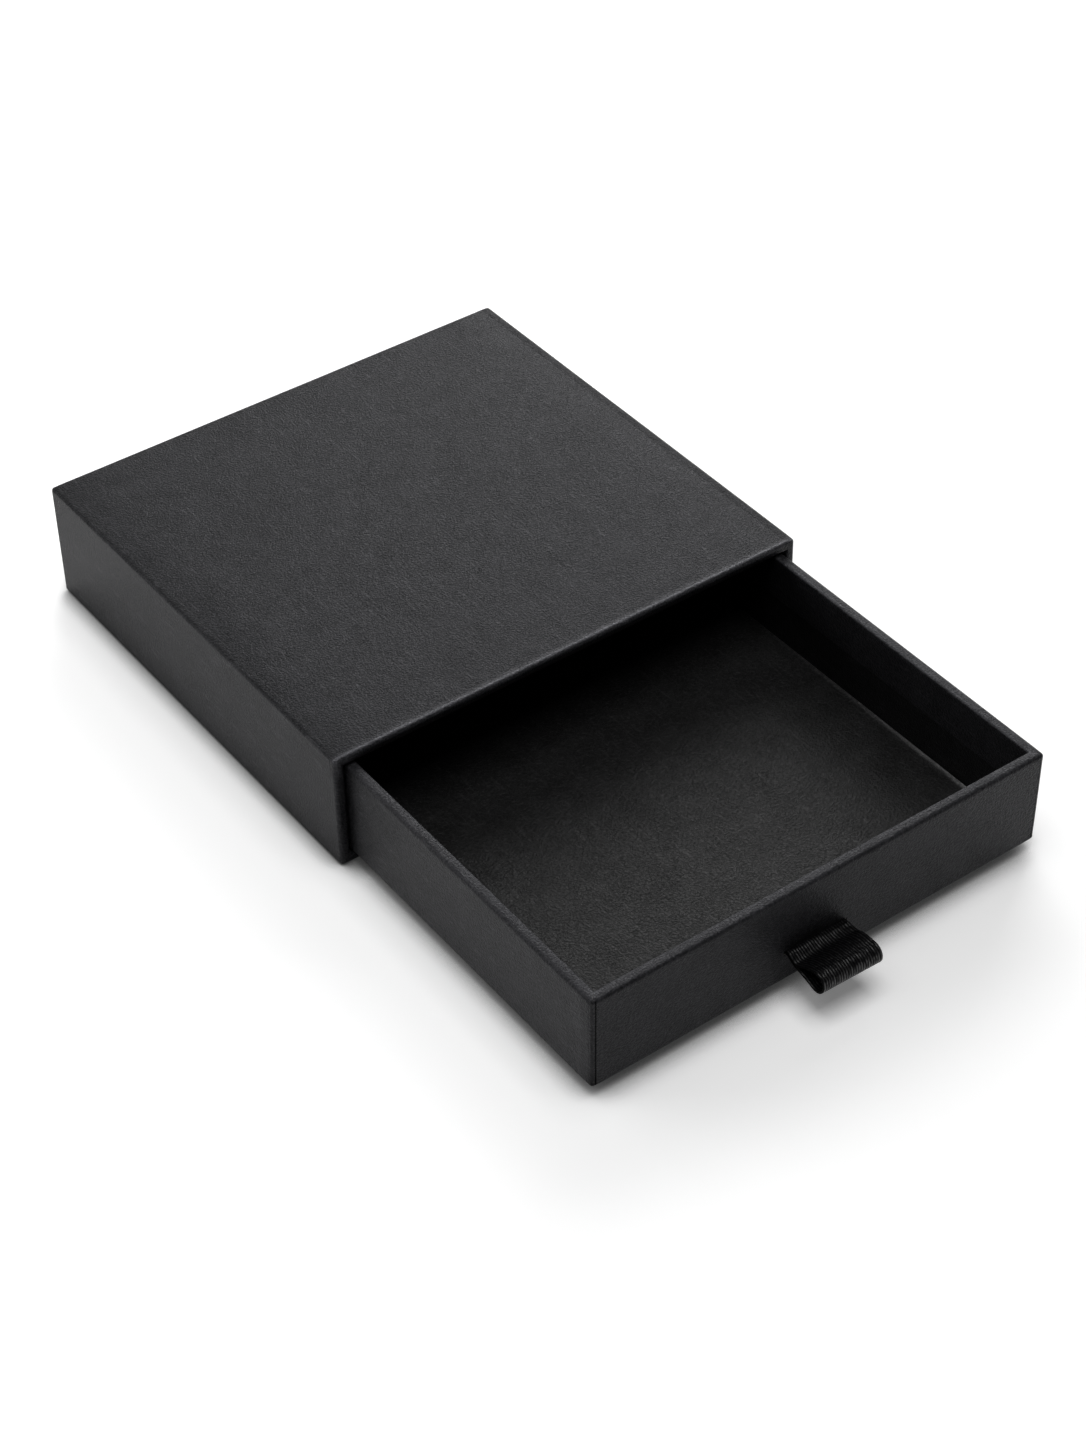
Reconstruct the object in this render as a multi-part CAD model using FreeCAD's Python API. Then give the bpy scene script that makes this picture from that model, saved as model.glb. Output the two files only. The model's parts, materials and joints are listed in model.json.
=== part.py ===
import FreeCAD, Part
import math
import os

# A rigid paperboard gift box that opens like a matchbox: a tray slides out of a sleeve
# whose back is closed, and a ribbon loop on the tray's front pulls it.  Greyboard panels
# are joined with paper tape, lined inside, and wrapped outside in one paper that turns in
# over the board edges at the sleeve's mouth and at the tray's rim.
#
# Millimetres.  +X is to the right along the mouth, +Y runs into the sleeve, +Z is up.
# The origin is the middle of the sleeve's underside.  The tray stands partly pulled out.

# ---- sheet stock
board = 2.0                 # greyboard of every wall
wrap_paper = 0.12           # covering paper outside, which turns in at the open edges
lining_paper = 0.12         # lining of the walls inside
sheet_paper = 0.12          # sheets pasted under the sleeve and the tray, and on the back
tape = 0.08                 # paper tape on the board joints, the glue line beside it
floor_card = 0.6            # loose card that covers the tray's floor
arris = 0.8                 # outer radius of a wrapped board edge

# ---- sleeve
sleeve_width = 115.0        # X
sleeve_depth = 110.0        # Y, mouth to back
sleeve_height = 28.0        # Z
sleeve_turn_in = 15.0       # wrap inside the mouth
lining_setback = 2.0        # lining starts this far inside an open edge
flap = 12.0                 # wrap folded over the underside, and in from the sides at the back
back_flap = 6.0             # wrap folded down and up over the back
sheet_margin = 2.0          # pasted sheet to the edge of its panel

# ---- tray
pull_out = 78.0             # front of the tray ahead of the mouth
side_play = 0.3             # tray to the sleeve's turned-in paper, each side
top_play = 0.3              # tray's rim to the sleeve's roof
under_play = 0.05           # tray's underside to the sleeve's floor
back_play = 0.6             # tray to the sleeve's back when the front is flush
tray_turn_in = 10.0         # wrap inside the tray's rim
card_play = 0.5             # floor card to the lined walls

# ---- paper joints
tape_leg = 9.0              # tape on each side of a board joint
tape_stop = 1.0             # tape ends this far short of an open edge
tape_gap = 1.0              # between the strips of tape and the band round the back
mitre_gap = 0.15            # open line where two turned-in flaps meet
seam_width = 0.2            # line where the wrap's flaps meet at a corner of the tray
seam_depth = 0.06
seam_inset = 1.0            # that line is this far from the corner, on the front and back

# ---- ribbon
ribbon_width = 14.4
ribbon_thickness = 0.4
ribbon_middle_x = -2.1      # fitted by hand, a little off the middle of the front
ribbon_height = 7.4         # slit's middle above the tray's underside
slit_play = 0.5             # slit beyond the ribbon at each end
slit_clearance = 0.05       # slit above and below the folded ribbon
tail_length = 11.0          # tails turned up behind the front board
tail_bend = 0.15            # radius inside the tails' bend
patch_margin = 1.5          # tape patch beyond the tails
patch_play = 0.2            # raised paper beyond the patch
loop_reach = 10.7           # loop's tip ahead of the tray's front
loop_belly = 3.3            # radius of the loop's droop at the root
loop_fold = 2.4             # outer radius of the loop's fold
loop_gap = 0.35             # loop's root to the tray's front

# ---- depths in a wall, from the wrap's outer face inwards
board_face = wrap_paper + tape
board_back = board_face + board
lining_face = board_back + lining_paper
wall = lining_face + wrap_paper

# ---- outer faces of the two wraps
sleeve_low = FreeCAD.Vector(-sleeve_width / 2, -sleeve_depth / 2, sheet_paper)
sleeve_high = FreeCAD.Vector(sleeve_width / 2, sleeve_depth / 2 - sheet_paper, sleeve_height)
tray_half = sleeve_width / 2 - wall - side_play
tray_front = sleeve_low.y - pull_out
tray_depth = sleeve_high.y - lining_face - back_play - sleeve_low.y
tray_bottom = sleeve_low.z + wall + under_play
tray_low = FreeCAD.Vector(-tray_half, tray_front, tray_bottom + sheet_paper)
tray_high = FreeCAD.Vector(tray_half, tray_front + tray_depth, sleeve_high.z - wall - top_play)

# ---- where the ribbon goes through the front
slit_z = tray_bottom + ribbon_height
tail_face = tray_front + board_back
tail_top = slit_z + tail_length
pad_rise = 2 * ribbon_thickness + tape
past = 5.0                  # cutting solids run this far past what they cut


def box(x0, x1, y0, y1, z0, z1):
    """A plain box between the given coordinates."""
    return Part.makeBox(x1 - x0, y1 - y0, z1 - z0, FreeCAD.Vector(x0, y0, z0))


def inset_box(low, high, depth):
    """The box low..high with every face moved inwards by depth."""
    return box(low.x + depth, high.x - depth, low.y + depth, high.y - depth, low.z + depth, high.z - depth)


def on_outside(point, bounds):
    """Whether a point of a boxy solid lies on one of the faces of its bounding box."""
    distances = (
        point.x - bounds.XMin, bounds.XMax - point.x,
        point.y - bounds.YMin, bounds.YMax - point.y,
        point.z - bounds.ZMin, bounds.ZMax - point.z,
    )
    return min(distances) < 1e-6


def rounded(solid, radius):
    """The solid with its outer edges, and those of its open side, rounded."""
    edges = [edge for edge in solid.Edges
             if all(on_outside(vertex.Point, solid.BoundBox) for vertex in edge.Vertexes)]
    return solid.makeFillet(radius, edges)


def fused(solids):
    """One shape of several solids."""
    return solids[0].multiFuse(solids[1:]) if len(solids) > 1 else solids[0]


def tape_skin(low, high):
    """The layer of tape round the boards, all over the box low..high."""
    outer = rounded(inset_box(low, high, wrap_paper), arris - wrap_paper)
    return outer.cut(rounded(inset_box(low, high, board_face), arris - board_face))


def mitre_slit(corner, inward, run):
    """A thin cut along the diagonal of a corner, from the rounded edge to the hollow."""
    reach = inward.Length
    along = FreeCAD.Vector(inward).normalize()
    depth = FreeCAD.Vector(run).normalize()
    across = along.cross(depth)
    slit = Part.makeBox(reach * (1 - arris / wall) + mitre_gap, run.Length + past, mitre_gap)
    turn = FreeCAD.Rotation(along, depth, across, "XYZ")
    start = corner + inward * (arris / wall) - depth * past - across * (mitre_gap / 2)
    slit.Placement = FreeCAD.Placement(start, turn)
    return slit


# ------------------------------------------------------------------------ sleeve

def sleeve_hollow(depth):
    """The sleeve's hollow, its faces depth inside the wrap, running out of the mouth."""
    return box(sleeve_low.x + depth, sleeve_high.x - depth, sleeve_low.y - past, sleeve_high.y - depth,
               sleeve_low.z + depth, sleeve_high.z - depth)


def sleeve_shell(outer_depth, inner_depth):
    """The sleeve's walls between two depths, with the mouth's edges rounded."""
    outer = inset_box(sleeve_low, sleeve_high, outer_depth)
    return rounded(outer.cut(sleeve_hollow(inner_depth)), arris - outer_depth)


def sleeve_boards():
    """Sides over the full height, roof and floor between them, and the back inside all four."""
    walls = sleeve_shell(board_face, board_back)
    left, right = sleeve_low.x + board_back, sleeve_high.x - board_back
    floor, roof = sleeve_low.z + board_back, sleeve_high.z - board_back
    front, back = sleeve_low.y, sleeve_high.y
    return {
        "sleeve_top_board": walls.common(box(left, right, front, back, roof, sleeve_high.z)),
        "sleeve_bottom_board": walls.common(box(left, right, front, back, sleeve_low.z, floor)),
        "sleeve_left_board": walls.common(
            box(sleeve_low.x, left, front, back, sleeve_low.z, sleeve_high.z)),
        "sleeve_right_board": walls.common(
            box(right, sleeve_high.x, front, back, sleeve_low.z, sleeve_high.z)),
        "sleeve_back_board": walls.common(box(left, right, back - board_back, back, floor, roof)),
    }


def sleeve_edge_tapes():
    """A strip folded over each long board joint, and a band round the back's joints."""
    skin = tape_skin(sleeve_low, sleeve_high)
    back_start = sleeve_high.y - tape_leg
    strips = []
    for x0, x1 in ((sleeve_low.x, sleeve_low.x + tape_leg), (sleeve_high.x - tape_leg, sleeve_high.x)):
        for z0, z1 in ((sleeve_low.z, sleeve_low.z + tape_leg), (sleeve_high.z - tape_leg, sleeve_high.z)):
            strips.append(skin.common(box(x0, x1, sleeve_low.y + tape_stop, back_start - tape_gap, z0, z1)))
    band = skin.common(box(sleeve_low.x, sleeve_high.x, back_start, sleeve_high.y, sleeve_low.z, sleeve_high.z))
    window = box(sleeve_low.x + tape_leg, sleeve_high.x - tape_leg, back_start, sleeve_high.y + past,
                 sleeve_low.z + tape_leg, sleeve_high.z - tape_leg)
    return Part.makeCompound(strips + [band.cut(window)])


def sleeve_outer_wrap():
    """The covering paper: round the walls, over the mouth's edges and folded under and behind."""
    paper = sleeve_shell(0, wall).cut(sleeve_shell(wrap_paper, lining_face))
    beyond_turn_in = sleeve_hollow(lining_face).common(
        box(sleeve_low.x, sleeve_high.x, sleeve_low.y + sleeve_turn_in, sleeve_high.y,
            sleeve_low.z, sleeve_high.z))
    under = box(sleeve_low.x + flap, sleeve_high.x - flap, sleeve_low.y + flap, sleeve_high.y - flap,
                sleeve_low.z - past, sleeve_low.z + wrap_paper)
    behind = box(sleeve_low.x + flap, sleeve_high.x - flap, sleeve_high.y - wrap_paper, sleeve_high.y + past,
                 sleeve_low.z + back_flap, sleeve_high.z - back_flap)
    slits = []
    for x, way_x in ((sleeve_low.x, 1), (sleeve_high.x, -1)):
        for z, way_z in ((sleeve_low.z, 1), (sleeve_high.z, -1)):
            slits.append(mitre_slit(FreeCAD.Vector(x, sleeve_low.y, z),
                                    FreeCAD.Vector(way_x * wall, 0, way_z * wall),
                                    FreeCAD.Vector(0, sleeve_turn_in, 0)))
    return paper.cut(fused([beyond_turn_in, under, behind])).cut(fused(slits))


def sleeve_inner_lining():
    """Lining paper on all five walls inside, under the turned-in wrap at the mouth."""
    paper = sleeve_hollow(board_back).cut(sleeve_hollow(lining_face))
    return paper.common(box(sleeve_low.x, sleeve_high.x, sleeve_low.y + lining_setback, sleeve_high.y,
                            sleeve_low.z, sleeve_high.z))


def sleeve_bottom_sheet():
    """The sheet pasted over the wrap's flaps on the underside, which the box stands on."""
    return box(sleeve_low.x + sheet_margin, sleeve_high.x - sheet_margin,
               sleeve_low.y + sheet_margin, sleeve_high.y - sheet_margin,
               sleeve_low.z - sheet_paper, sleeve_low.z)


def sleeve_back_sheet():
    """The sheet pasted over the wrap's flaps on the back."""
    return box(sleeve_low.x + sheet_margin, sleeve_high.x - sheet_margin,
               sleeve_high.y, sleeve_high.y + sheet_paper,
               sleeve_low.z + sheet_margin, sleeve_high.z - sheet_margin)


# -------------------------------------------------------------------------- tray

def ribbon_pad(depth):
    """The flat rise in the paper at this depth where it covers the ribbon's glued tails."""
    extra = depth - board_back
    half = ribbon_width / 2 + patch_margin + patch_play + extra
    low_z = slit_z - ribbon_thickness - patch_play - extra
    high_z = tail_top + patch_margin + patch_play + extra
    return box(ribbon_middle_x - half, ribbon_middle_x + half,
               tray_front, tray_front + depth + pad_rise, low_z, high_z)


def tray_hollow(depth):
    """The tray's hollow between its walls, its faces depth inside the wrap, open upwards."""
    return box(tray_low.x + depth, tray_high.x - depth, tray_low.y + depth, tray_high.y - depth,
               tray_low.z + depth, tray_high.z + past)


def papered_hollow(depth):
    """The tray's hollow where the paper at this depth rises over the ribbon's tails."""
    return tray_hollow(depth).cut(ribbon_pad(depth))


def tray_shell(outer_depth, hollow):
    """The tray's walls between a depth and a hollow, with the rim's edges rounded."""
    outer = inset_box(tray_low, tray_high, outer_depth)
    return rounded(outer.cut(hollow), arris - outer_depth)


def ribbon_slit():
    """The cut in the front that the doubled ribbon goes through."""
    half = ribbon_width / 2 + slit_play
    rise = ribbon_thickness + slit_clearance
    return box(ribbon_middle_x - half, ribbon_middle_x + half, tray_front - past, tail_face,
               slit_z - rise, slit_z + rise)


def slit_in(front_board):
    """The front board with the ribbon's slit in it, the slit's inner edges eased."""
    opened = front_board.cut(ribbon_slit())
    rise = ribbon_thickness + slit_clearance
    inner = [edge for edge in opened.Edges
             if all(abs(v.Y - tail_face) < 1e-6 and abs(abs(v.Z - slit_z) - rise) < 1e-6 for v in edge.Vertexes)]
    return opened.makeFillet(tail_bend + slit_clearance, inner)


def tray_boards():
    """The base inside four walls; front and back run the full width, sides between them."""
    walls = tray_shell(board_face, tray_hollow(board_back))
    left, right = tray_low.x + board_back, tray_high.x - board_back
    front, back = tray_low.y + board_back, tray_high.y - board_back
    floor, rim = tray_low.z + board_back, tray_high.z
    bottom = tray_low.z
    front_board = walls.common(box(tray_low.x, tray_high.x, tray_low.y, front, bottom, rim))
    return {
        "tray_base_board": walls.common(box(left, right, front, back, bottom, floor)),
        "tray_front_board": slit_in(front_board),
        "tray_back_board": walls.common(box(tray_low.x, tray_high.x, back, tray_high.y, bottom, rim)),
        "tray_left_board": walls.common(box(tray_low.x, left, front, back, bottom, rim)),
        "tray_right_board": walls.common(box(right, tray_high.x, front, back, bottom, rim)),
    }


def tray_corner_tapes():
    """A strip folded round each upright corner of the boards."""
    skin = tape_skin(tray_low, tray_high)
    strips = []
    for x0, x1 in ((tray_low.x, tray_low.x + tape_leg), (tray_high.x - tape_leg, tray_high.x)):
        for y0, y1 in ((tray_low.y, tray_low.y + tape_leg), (tray_high.y - tape_leg, tray_high.y)):
            strips.append(skin.common(box(x0, x1, y0, y1, tray_low.z + tape_stop, tray_high.z - tape_stop)))
    return Part.makeCompound(strips)


def tray_outer_wrap():
    """The covering paper: round the walls, over the rim, down inside and folded under."""
    paper = tray_shell(0, papered_hollow(wall)).cut(tray_shell(wrap_paper, papered_hollow(lining_face)))
    below_turn_in = papered_hollow(lining_face).common(
        box(tray_low.x, tray_high.x, tray_low.y, tray_high.y, tray_low.z, tray_high.z - tray_turn_in))
    under = box(tray_low.x + flap, tray_high.x - flap, tray_low.y + flap, tray_high.y - flap,
                tray_low.z - past, tray_low.z + wrap_paper)
    cuts = []
    for x, way_x in ((tray_low.x, 1), (tray_high.x, -1)):
        seam_x = x + way_x * seam_inset
        for y, way_y in ((tray_low.y, 1), (tray_high.y, -1)):
            cuts.append(mitre_slit(FreeCAD.Vector(x, y, tray_high.z),
                                   FreeCAD.Vector(way_x * wall, way_y * wall, 0),
                                   FreeCAD.Vector(0, 0, -tray_turn_in)))
            cuts.append(box(seam_x - seam_width / 2, seam_x + seam_width / 2,
                            y - seam_depth, y + seam_depth, tray_low.z - past, tray_high.z - arris))
    return paper.cut(fused([below_turn_in, under])).cut(fused(cuts)).cut(ribbon_slit())


def tray_inner_lining():
    """Lining paper on the floor and walls, under the turned-in wrap at the rim."""
    paper = tray_hollow(board_back).cut(ribbon_pad(board_back)).cut(papered_hollow(lining_face))
    return paper.common(box(tray_low.x, tray_high.x, tray_low.y, tray_high.y,
                            tray_low.z, tray_high.z - lining_setback))


def tray_base_sheet():
    """The sheet pasted over the wrap's flaps under the tray."""
    return box(tray_low.x + sheet_margin, tray_high.x - sheet_margin,
               tray_low.y + sheet_margin, tray_high.y - sheet_margin, tray_bottom, tray_low.z)


def tray_floor_card():
    """The card laid on the lined floor, its upper edges eased."""
    gap = lining_face + card_play
    floor = tray_low.z + lining_face
    card = box(tray_low.x + gap, tray_high.x - gap, tray_low.y + gap, tray_high.y - gap, floor, floor + floor_card)
    top_edges = [edge for edge in card.Edges if all(v.Z > floor + floor_card / 2 for v in edge.Vertexes)]
    return card.makeFillet(floor_card / 2, top_edges)


# ------------------------------------------------------------------------ ribbon

def bent_tail(low_z, back_y):
    """A layer of ribbon that comes through the slit and turns up against the front board."""
    front_y = tray_front
    run = box(ribbon_middle_x - ribbon_width / 2, ribbon_middle_x + ribbon_width / 2,
              front_y, back_y, low_z, low_z + ribbon_thickness)
    rise = box(ribbon_middle_x - ribbon_width / 2, ribbon_middle_x + ribbon_width / 2,
               back_y - ribbon_thickness, back_y, low_z, tail_top)
    strip = run.fuse(rise).removeSplitter()

    def bend(y, z):
        return [edge for edge in strip.Edges
                if all(abs(v.Y - y) < 1e-6 and abs(v.Z - z) < 1e-6 for v in edge.Vertexes)]

    inner = bend(back_y - ribbon_thickness, low_z + ribbon_thickness)
    strip = strip.makeFillet(tail_bend, inner)
    return strip.makeFillet(tail_bend + ribbon_thickness, bend(back_y, low_z))


def ribbon_tails():
    """Both ends of the ribbon, one over the other, turned up behind the front board."""
    upper = bent_tail(slit_z, tail_face + ribbon_thickness)
    lower = bent_tail(slit_z - ribbon_thickness, tail_face + 2 * ribbon_thickness)
    return Part.makeCompound([upper, lower])


def ribbon_anchor_tape():
    """The patch that holds the tails down."""
    half = ribbon_width / 2 + patch_margin
    face = tail_face + 2 * ribbon_thickness
    low_z = slit_z + tail_bend + ribbon_thickness
    return box(ribbon_middle_x - half, ribbon_middle_x + half, face, face + tape, low_z, tail_top + patch_margin)


def ribbon_loop():
    """The pull: a drooping belly, a round fold at the tip and a straight run back on top."""
    root = FreeCAD.Vector(0, tray_front - loop_gap, slit_z)
    belly_middle = root - FreeCAD.Vector(0, loop_belly, 0)
    belly_side = belly_middle + FreeCAD.Vector(0, math.cos(math.pi / 4), -math.sin(math.pi / 4)) * loop_belly
    belly_low = belly_middle - FreeCAD.Vector(0, 0, loop_belly)
    fold_middle = FreeCAD.Vector(0, tray_front - loop_reach + loop_fold, slit_z - loop_belly + loop_fold)
    fold_low = fold_middle - FreeCAD.Vector(0, 0, loop_fold)
    fold_tip = fold_middle - FreeCAD.Vector(0, loop_fold, 0)
    # the top run touches the fold where its radius stands square to the run
    to_fold = fold_middle - root
    lean = math.atan2(to_fold.z, -to_fold.y) + math.asin(loop_fold / to_fold.Length)
    fold_top = fold_middle + FreeCAD.Vector(0, math.sin(lean), math.cos(lean)) * loop_fold
    outline = Part.Wire([
        Part.Arc(root, belly_side, belly_low).toShape(),
        Part.LineSegment(belly_low, fold_low).toShape(),
        Part.Arc(fold_low, fold_tip, fold_top).toShape(),
        Part.LineSegment(fold_top, root).toShape(),
    ])
    band = Part.Face(outline).cut(Part.Face(outline.makeOffset2D(-ribbon_thickness)))
    band.translate(FreeCAD.Vector(ribbon_middle_x - ribbon_width / 2, 0, 0))
    return band.extrude(FreeCAD.Vector(ribbon_width, 0, 0))


def write(name, shape):
    """Write one sub-part, and report whether its solids are sound."""
    shape.exportStep(os.path.join("parts", name + ".step"))
    print(f"{name:22s} solids {len(shape.Solids)}  valid {shape.isValid()}  volume {shape.Volume:10.2f}")


def main():
    os.makedirs("parts", exist_ok=True)
    nodes = {}
    nodes.update(sleeve_boards())
    nodes["sleeve_edge_tapes"] = sleeve_edge_tapes()
    nodes["sleeve_outer_wrap"] = sleeve_outer_wrap()
    nodes["sleeve_inner_lining"] = sleeve_inner_lining()
    nodes["sleeve_bottom_sheet"] = sleeve_bottom_sheet()
    nodes["sleeve_back_sheet"] = sleeve_back_sheet()
    nodes.update(tray_boards())
    nodes["tray_corner_tapes"] = tray_corner_tapes()
    nodes["tray_outer_wrap"] = tray_outer_wrap()
    nodes["tray_inner_lining"] = tray_inner_lining()
    nodes["tray_base_sheet"] = tray_base_sheet()
    nodes["tray_floor_card"] = tray_floor_card()
    nodes["ribbon_tails"] = ribbon_tails()
    nodes["ribbon_anchor_tape"] = ribbon_anchor_tape()
    nodes["ribbon_loop"] = ribbon_loop()
    for name, shape in nodes.items():
        write(name, shape)


main()
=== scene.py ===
import json
import math

import bmesh
import bpy
from bpy.props import FloatProperty, FloatVectorProperty, PointerProperty
from mathutils import Matrix, Vector


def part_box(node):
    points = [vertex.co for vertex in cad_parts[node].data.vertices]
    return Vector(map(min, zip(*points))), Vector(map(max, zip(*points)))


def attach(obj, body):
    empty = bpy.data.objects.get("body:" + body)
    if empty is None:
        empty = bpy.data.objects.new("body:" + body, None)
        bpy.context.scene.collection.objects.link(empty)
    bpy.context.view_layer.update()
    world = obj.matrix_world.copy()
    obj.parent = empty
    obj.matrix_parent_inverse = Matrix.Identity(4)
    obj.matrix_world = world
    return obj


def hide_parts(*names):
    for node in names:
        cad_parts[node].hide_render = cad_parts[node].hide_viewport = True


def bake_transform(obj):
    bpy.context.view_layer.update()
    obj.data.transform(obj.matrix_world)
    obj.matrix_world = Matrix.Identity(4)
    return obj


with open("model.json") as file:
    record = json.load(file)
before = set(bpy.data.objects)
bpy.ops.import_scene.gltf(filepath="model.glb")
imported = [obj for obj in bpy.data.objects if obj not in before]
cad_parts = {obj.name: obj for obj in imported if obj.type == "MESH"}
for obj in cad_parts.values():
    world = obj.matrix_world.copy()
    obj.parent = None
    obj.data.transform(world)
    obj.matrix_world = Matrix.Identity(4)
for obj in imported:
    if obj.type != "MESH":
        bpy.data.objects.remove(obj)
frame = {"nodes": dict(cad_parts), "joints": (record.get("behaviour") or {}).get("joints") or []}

bl_info = {
    "name": "Drawer Gift Box",
    "version": (1, 0, 0),
    "blender": (4, 5, 0),
    "location": "3D View > Sidebar > Gift Box",
    "description": "Papers, lines and stages a rigid board gift box with a ribbon-pulled tray",
    "category": "Object",
}

MM = 0.001
X, Y, Z = 0, 1, 2
TINY = 0.01 * MM                    # two coordinates this near are the same
PANEL_CUTS = 5 * MM                 # spacing of the cuts along a panel
WALL_CUTS = 4 * MM                  # spacing of the cuts up a wall
SMOOTH_ANGLE = math.radians(32)     # sharper edges than this stay crisp
PASTE_GRAIN = 18 * MM               # length of the waves in pasted paper
RELIEF = 0.1 * MM                   # height of the grain in the papers' and the ribbon's bump
LAMP_SIZE = 0.7                     # side of each square lamp, in metres
LAMP_DISTANCE = 1.1                 # from the box to each lamp, in metres

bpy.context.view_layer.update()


# ------------------------------------------------------------------ settings

def length(name, description, millimetres):
    """A length in the sidebar, given in millimetres."""
    return FloatProperty(name=name, description=description, default=millimetres * MM,
                         unit="LENGTH", subtype="DISTANCE", precision=5)


def colour(name, description, red, green, blue):
    """A colour in the sidebar, in linear light."""
    return FloatVectorProperty(name=name, description=description, default=(red, green, blue),
                               subtype="COLOR", size=3, min=0, max=1)


class PaperSizes(bpy.types.PropertyGroup):
    """Sizes of the covering and lining papers."""
    paper: length("Paper", "Thickness of the covering paper and the lining", 0.12)
    arris: length("Arris", "Radius of a wrapped board edge", 0.8)
    sleeve_turn_in: length("Sleeve turn-in", "Covering paper turned into the sleeve's mouth", 15)
    tray_turn_in: length("Tray turn-in", "Covering paper turned down inside the tray's rim", 10)
    flap: length("Flap", "Covering paper folded under the board", 12)
    back_flap: length("Back flap", "Covering paper folded up and down over the sleeve's back", 6)
    board: length("Board", "Thickness of the board, whose edges show through the paper", 2)
    edge_drop: length("Edge drop", "How far the paper falls from a board joint to the corner", 0.05)
    joint_dip: length("Joint dip", "Depth of the line that a board joint leaves in the paper", 0.035)
    lap_step: length("Lap step", "Step where one flap of paper lies on another", 0.08)
    seam_inset: length("Seam inset", "Distance of the upright seam from the tray's corner", 1.0)
    mitre_gap: length("Mitre gap", "Opening between two flaps that meet at a corner", 0.07)
    unevenness: length("Unevenness", "How far the pasted paper strays from flat", 0.05)
    inner_arris: length("Inner arris", "Radius of the tray's rim inside", 0.45)
    corner_fall: length("Corner fall", "How far the side's paper dips where it meets the front flap", 0.35)
    dent: length("Dent", "Depth of the dent in the sleeve's near left corner", 0.5)
    card_curl: length("Card curl", "How far the floor card's right edge stands up at the front", 0.45)


class RibbonSizes(bpy.types.PropertyGroup):
    """Sizes of the ribbon pull."""
    thickness: length("Thickness", "Thickness of the ribbon", 0.4)
    bend: length("Bend", "Radius of the ribbon's middle where it turns at the board", 0.35)
    slack: length("Slack", "How much further the worn loop reaches than a new one", 0.25)
    fold: length("Fold", "Outer radius of the loop's fold", 2.33)
    selvage: length("Selvage", "Width of the woven edge", 0.5)


class Colours(bpy.types.PropertyGroup):
    """Colours of the papers, the board and the ribbon."""
    covering: colour("Covering paper", "Matt black covering paper", 0.0098, 0.0098, 0.0108)
    # Darker than the covering paper, as painted shade for the insides of the tray and the sleeve.
    lining: colour("Lining", "Lining paper inside", 0.0056, 0.0056, 0.006)
    # A little darker than the covering paper, as painted shade for the tray's floor under its walls and the
    # sleeve.
    card: colour("Floor card", "Card on the tray's floor", 0.0086, 0.0086, 0.0087)
    board: colour("Board", "Grey pulp board", 0.30, 0.28, 0.25)
    tape: colour("Tape", "Dark paper tape on the board joints", 0.02, 0.018, 0.016)
    ribbon: colour("Ribbon", "Black woven ribbon", 0.0022, 0.0022, 0.0026)


def power(name, description, watts):
    """A lamp's power in the sidebar, in watts."""
    return FloatProperty(name=name, description=description, default=watts, min=0, unit="POWER")


class StageSettings(bpy.types.PropertyGroup):
    """The floor, the lamps and the camera."""
    floor: colour("Floor", "Pale floor", 0.8, 0.8, 0.8)
    key: power("Key light", "Power of the soft lamp behind on the right", 6.4)
    top: power("Top light", "Power of the lamp overhead", 5.8)
    left: power("Left light", "Power of the low lamp behind on the left", 4.3)
    back: power("Back light", "Power of the lamp straight behind", 2.0)
    side: power("Side light", "Power of the high lamp on the left", 1.6)
    low: power("Low light", "Power of the low lamp behind on the right", 1.0)
    sky: FloatProperty(name="Sky", description="Strength of the even light from all round",
                       default=0.05, min=0)
    lens: FloatProperty(name="Lens", description="Focal length of the camera, in millimetres",
                        default=74.09, unit="CAMERA")


# ------------------------------------------------------------------- by hand

def stop_editing():
    """Back to object mode with nothing selected."""
    if bpy.context.mode != "OBJECT":
        bpy.ops.object.mode_set(mode="OBJECT")
    bpy.ops.object.select_all(action="DESELECT")


def start_box(name, low, high, is_open=None):
    """A box at its size and place, in edit mode, without the face that passes the test."""
    stop_editing()
    bpy.ops.mesh.primitive_cube_add(size=1, location=(low + high) / 2, scale=high - low)
    piece = bpy.context.object
    piece.name = piece.data.name = name
    bpy.ops.object.transform_apply(location=True, rotation=False, scale=True)
    bpy.ops.object.mode_set(mode="EDIT")
    if is_open:
        pick("FACE", is_open)
        bpy.ops.mesh.delete(type="ONLY_FACE")
    return piece


def pick(kind, test):
    """Select the vertices, edges or faces that pass the test, and say how many there are."""
    bpy.ops.mesh.select_mode(type=kind)
    bpy.ops.mesh.select_all(action="DESELECT")
    mesh = bpy.context.edit_object.data
    shape = bmesh.from_edit_mesh(mesh)
    found = [element for element in {"VERT": shape.verts, "EDGE": shape.edges, "FACE": shape.faces}[kind]
             if test(element)]
    for element in found:
        element.select_set(True)
    shape.select_flush_mode()
    bmesh.update_edit_mesh(mesh)
    return len(found)


def middle(element):
    """The middle of an edge or a face."""
    return sum((vertex.co for vertex in element.verts), Vector()) / len(element.verts)


def near(value, target):
    return abs(value - target) < TINY


def extrude(move):
    """Extrude what is selected."""
    bpy.ops.mesh.extrude_region_move(TRANSFORM_OT_translate={"value": move})


def slice_at(axis, places, test=None):
    """Cut the mesh, or the faces that pass the test, by planes square to an axis."""
    for place in places:
        pick("FACE", test or (lambda face: True))
        square = Vector((axis == X, axis == Y, axis == Z))
        bpy.ops.mesh.bisect(plane_co=square * place, plane_no=square)


def steps(start, end, step):
    """Places between start and end, evenly spaced at about the given step."""
    count = max(1, round((end - start) / step))
    return [start + (end - start) * number / count for number in range(count + 1)]


def turn(angle, axis, centre):
    """Turn the selection by the right-hand rule about an axis through centre."""
    bpy.ops.transform.rotate(value=-angle, orient_axis=axis, orient_type="GLOBAL", center_override=centre)


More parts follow.
